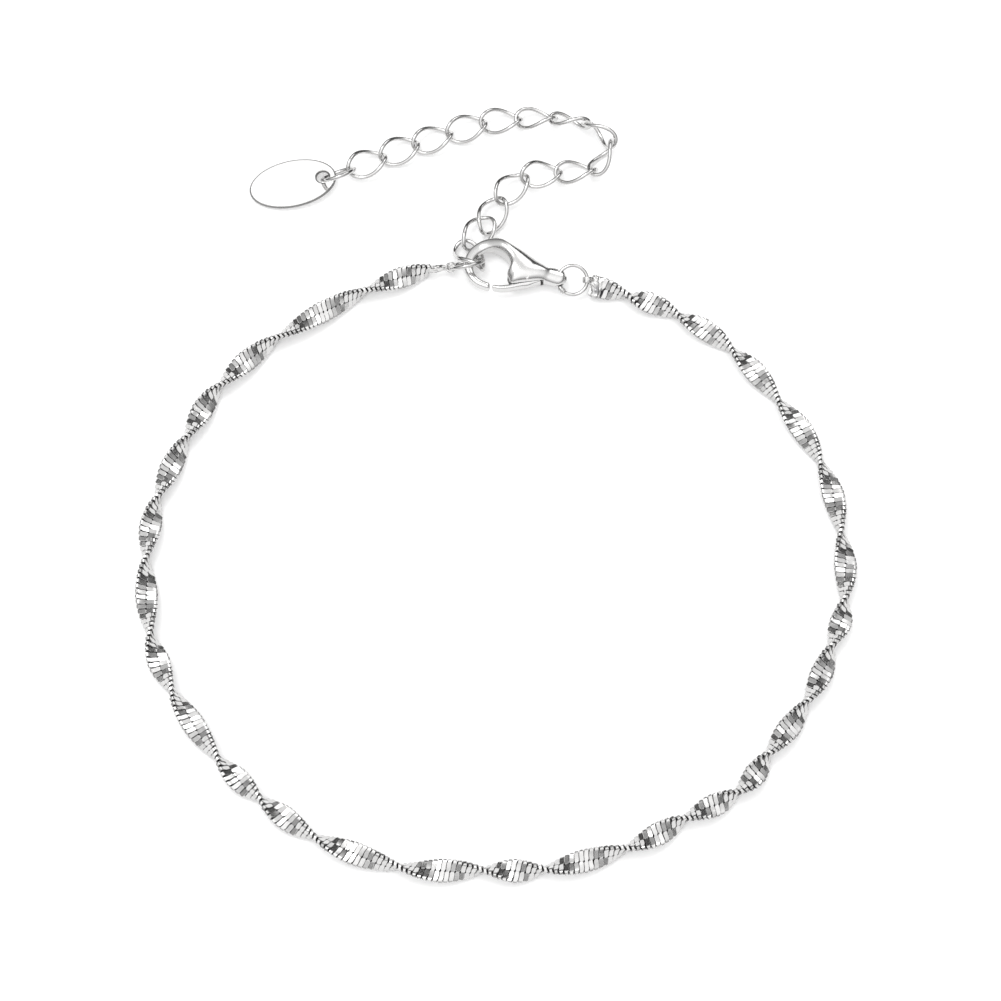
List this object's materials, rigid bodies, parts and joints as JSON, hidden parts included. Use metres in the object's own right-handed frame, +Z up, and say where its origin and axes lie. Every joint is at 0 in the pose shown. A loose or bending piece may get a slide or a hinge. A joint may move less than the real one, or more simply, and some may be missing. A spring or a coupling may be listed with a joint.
{
  "type": "chain bracelet with extender and oval tag",
  "caption": "Silver chain bracelet: a twisted two-row chain closed by a lobster clasp, with a curb-link extender chain and a small plain oval tag.",
  "frame": {"origin": "middle of the bracelet's outline, on the surface that it lies on", "axes": "+Z up from the surface; +Y from the middle of the loop towards the clasp and the extender; +X to the right seen from above"},
  "size_m": [0.0604, 0.0711, 0.0031],
  "materials": {
    "silver": "polished"
  },
  "bodies": {
    "root": {"twisted_chain": "silver", "jump_ring_clasp": "silver", "clasp_body": "silver", "jump_ring_chain_end": "silver", "extender_link_01": "silver", "extender_link_02": "silver", "extender_link_03": "silver", "extender_link_04": "silver", "extender_link_05": "silver", "extender_link_06": "silver", "extender_link_07": "silver", "extender_link_08": "silver", "extender_link_09": "silver", "extender_link_10": "silver", "extender_link_11": "silver", "extender_link_12": "silver", "extender_link_13": "silver", "extender_link_14": "silver", "extender_link_15": "silver", "jump_ring_tag": "silver", "oval_tag": "silver"},
    "lever": {"clasp_lever": "silver"}
  },
  "joints": [
    {"name": "lever_hinge", "type": "hinge", "parent": "root", "child": "lever", "pos_m": [0.00245, 0.01779, 0.00125], "axis": [0, 0, 1], "range_deg": [-25, 0], "stiffness_Nm_per_rad": 0.00001, "springref_deg": 11.46}
  ]
}
